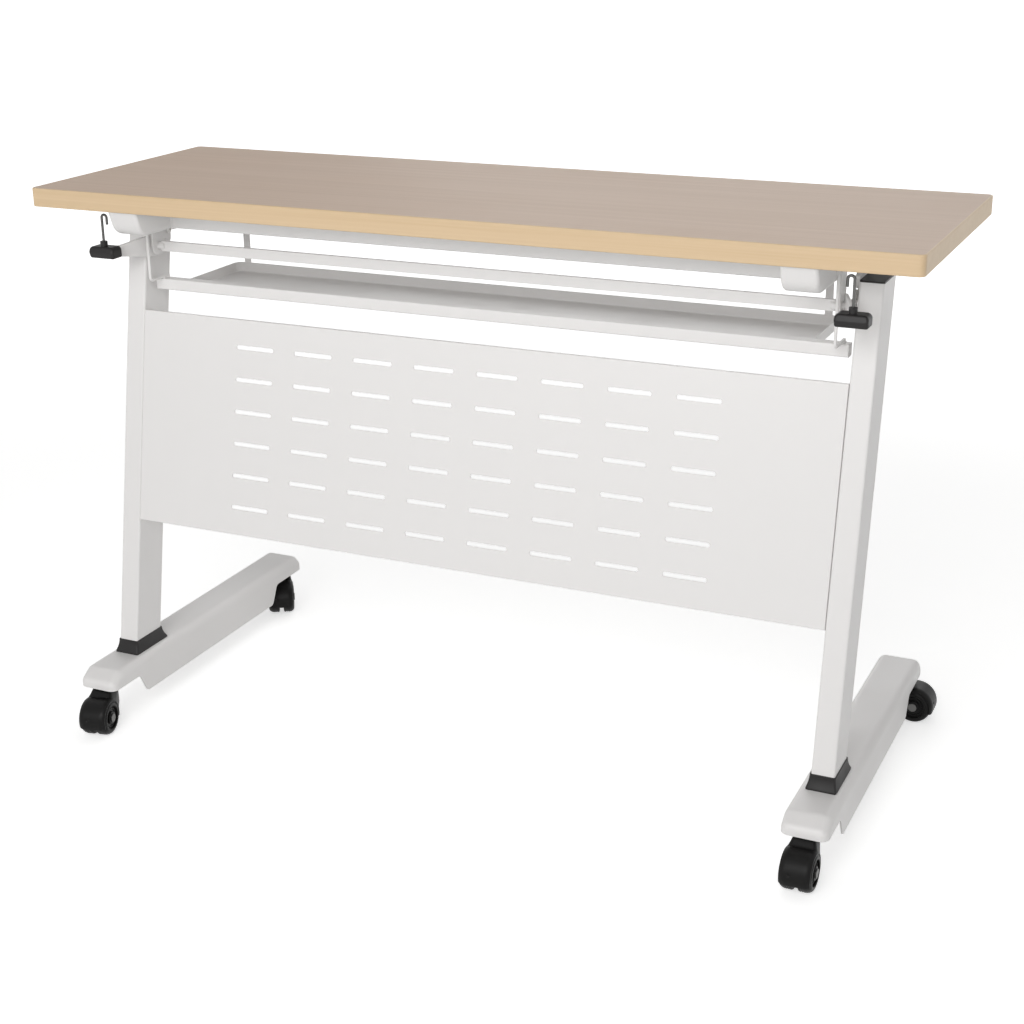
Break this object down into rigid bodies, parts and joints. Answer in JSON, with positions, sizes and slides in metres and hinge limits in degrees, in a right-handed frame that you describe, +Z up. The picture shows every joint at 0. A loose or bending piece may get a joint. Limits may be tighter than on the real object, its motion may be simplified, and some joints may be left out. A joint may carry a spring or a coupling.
{
  "type": "mobile training table",
  "caption": "Flip-top training table with a laminate top on raked posts, a slotted modesty panel, a book shelf and a release lever, standing on swivel casters.",
  "frame": {"origin": "on the floor under the middle of the bounding box", "axes": "+X along the tabletop, +Y from the panel side to the user, +Z up"},
  "size_m": [1.2, 0.556, 0.76],
  "materials": {
    "laminate": "satin maple laminate",
    "edging": "satin maple edge band",
    "white_paint": "white powder coat",
    "white_plastic": "white, matte",
    "black_plastic": "black, matte",
    "caster_plastic": "black, satin",
    "bush_plastic": "dark grey",
    "bare_steel": "zinc plated",
    "dark_steel": "dark plated wire"
  },
  "bodies": {
    "frame": {"left_post": "white_paint", "left_post_collar": "black_plastic", "left_foot": "white_paint", "left_hinge_ear": "white_paint", "right_post": "white_paint", "right_post_collar": "black_plastic", "right_foot": "white_paint", "right_hinge_ear": "white_paint", "post_top_caps": "black_plastic", "post_base_plates": "bare_steel", "post_base_bolts": "bare_steel", "modesty_panel": "white_paint", "panel_screws": "bare_steel", "pivot_pins": "bare_steel", "pivot_clips": "bare_steel", "ear_bolts": "bare_steel", "caster_sockets": "bare_steel", "caster_stems": "bare_steel"},
    "top": {"tabletop_board": "laminate", "edge_band": "edging", "left_arm": "white_paint", "left_front_hanger": "white_paint", "left_rear_strap": "white_paint", "left_latch_bracket": "white_paint", "right_arm": "white_paint", "right_front_hanger": "white_paint", "right_rear_strap": "white_paint", "right_latch_bracket": "white_paint", "pivot_bushes": "bush_plastic", "cross_beam": "white_paint", "arm_screws": "bare_steel", "shelf_rail": "white_paint", "rail_end_caps": "white_plastic", "shelf_tray": "white_paint"},
    "release_lever": {"left_release_arm": "white_paint", "left_handle": "black_plastic", "left_latch_pawl": "bare_steel", "right_release_arm": "white_paint", "right_handle": "black_plastic", "right_latch_pawl": "bare_steel", "release_bar": "white_paint", "hook_wires": "dark_steel"},
    "left_front_caster": {"left_front_hood": "caster_plastic", "left_front_axle": "dark_steel"},
    "left_front_wheel_a": {"left_front_wheel_a": "caster_plastic"},
    "left_front_wheel_b": {"left_front_wheel_b": "caster_plastic"},
    "left_rear_caster": {"left_rear_hood": "caster_plastic", "left_rear_axle": "dark_steel"},
    "left_rear_wheel_a": {"left_rear_wheel_a": "caster_plastic"},
    "left_rear_wheel_b": {"left_rear_wheel_b": "caster_plastic"},
    "right_front_caster": {"right_front_hood": "caster_plastic", "right_front_axle": "dark_steel"},
    "right_front_wheel_a": {"right_front_wheel_a": "caster_plastic"},
    "right_front_wheel_b": {"right_front_wheel_b": "caster_plastic"},
    "right_rear_caster": {"right_rear_hood": "caster_plastic", "right_rear_axle": "dark_steel"},
    "right_rear_wheel_a": {"right_rear_wheel_a": "caster_plastic"},
    "right_rear_wheel_b": {"right_rear_wheel_b": "caster_plastic"}
  },
  "joints": [
    {"name": "top_flip", "type": "hinge", "parent": "frame", "child": "top", "pos_m": [0, 0, 0.717], "axis": [-1, 0, 0], "range_deg": [0, 90]},
    {"name": "release_lift", "type": "hinge", "parent": "top", "child": "release_lever", "pos_m": [0, -0.055, 0.669], "axis": [-1, 0, 0], "range_deg": [0, 8]},
    {"name": "left_front_swivel", "type": "hinge", "parent": "frame", "child": "left_front_caster", "pos_m": [-0.516, -0.21996, 0.0625], "axis": [0, 0, 1], "continuous": true},
    {"name": "left_front_wheel_a_roll", "type": "hinge", "parent": "left_front_caster", "child": "left_front_wheel_a", "pos_m": [-0.51018, -0.24735, 0.025], "axis": [0.9781, 0.2079, 0], "continuous": true},
    {"name": "left_front_wheel_b_roll", "type": "hinge", "parent": "left_front_caster", "child": "left_front_wheel_b", "pos_m": [-0.51018, -0.24735, 0.025], "axis": [0.9781, 0.2079, 0], "continuous": true},
    {"name": "left_rear_swivel", "type": "hinge", "parent": "frame", "child": "left_rear_caster", "pos_m": [-0.516, 0.25604, 0.0625], "axis": [0, 0, 1], "continuous": true},
    {"name": "left_rear_wheel_a_roll", "type": "hinge", "parent": "left_rear_caster", "child": "left_rear_wheel_a", "pos_m": [-0.502, 0.23179, 0.025], "axis": [0.866, 0.5, 0], "continuous": true},
    {"name": "left_rear_wheel_b_roll", "type": "hinge", "parent": "left_rear_caster", "child": "left_rear_wheel_b", "pos_m": [-0.502, 0.23179, 0.025], "axis": [0.866, 0.5, 0], "continuous": true},
    {"name": "right_front_swivel", "type": "hinge", "parent": "frame", "child": "right_front_caster", "pos_m": [0.516, -0.21996, 0.0625], "axis": [0, 0, 1], "continuous": true},
    {"name": "right_front_wheel_a_roll", "type": "hinge", "parent": "right_front_caster", "child": "right_front_wheel_a", "pos_m": [0.516, -0.24796, 0.025], "axis": [1, 0, 0], "continuous": true},
    {"name": "right_front_wheel_b_roll", "type": "hinge", "parent": "right_front_caster", "child": "right_front_wheel_b", "pos_m": [0.516, -0.24796, 0.025], "axis": [1, 0, 0], "continuous": true},
    {"name": "right_rear_swivel", "type": "hinge", "parent": "frame", "child": "right_rear_caster", "pos_m": [0.516, 0.25604, 0.0625], "axis": [0, 0, 1], "continuous": true},
    {"name": "right_rear_wheel_a_roll", "type": "hinge", "parent": "right_rear_caster", "child": "right_rear_wheel_a", "pos_m": [0.544, 0.25604, 0.025], "axis": [0, 1, 0], "continuous": true},
    {"name": "right_rear_wheel_b_roll", "type": "hinge", "parent": "right_rear_caster", "child": "right_rear_wheel_b", "pos_m": [0.544, 0.25604, 0.025], "axis": [0, 1, 0], "continuous": true}
  ]
}
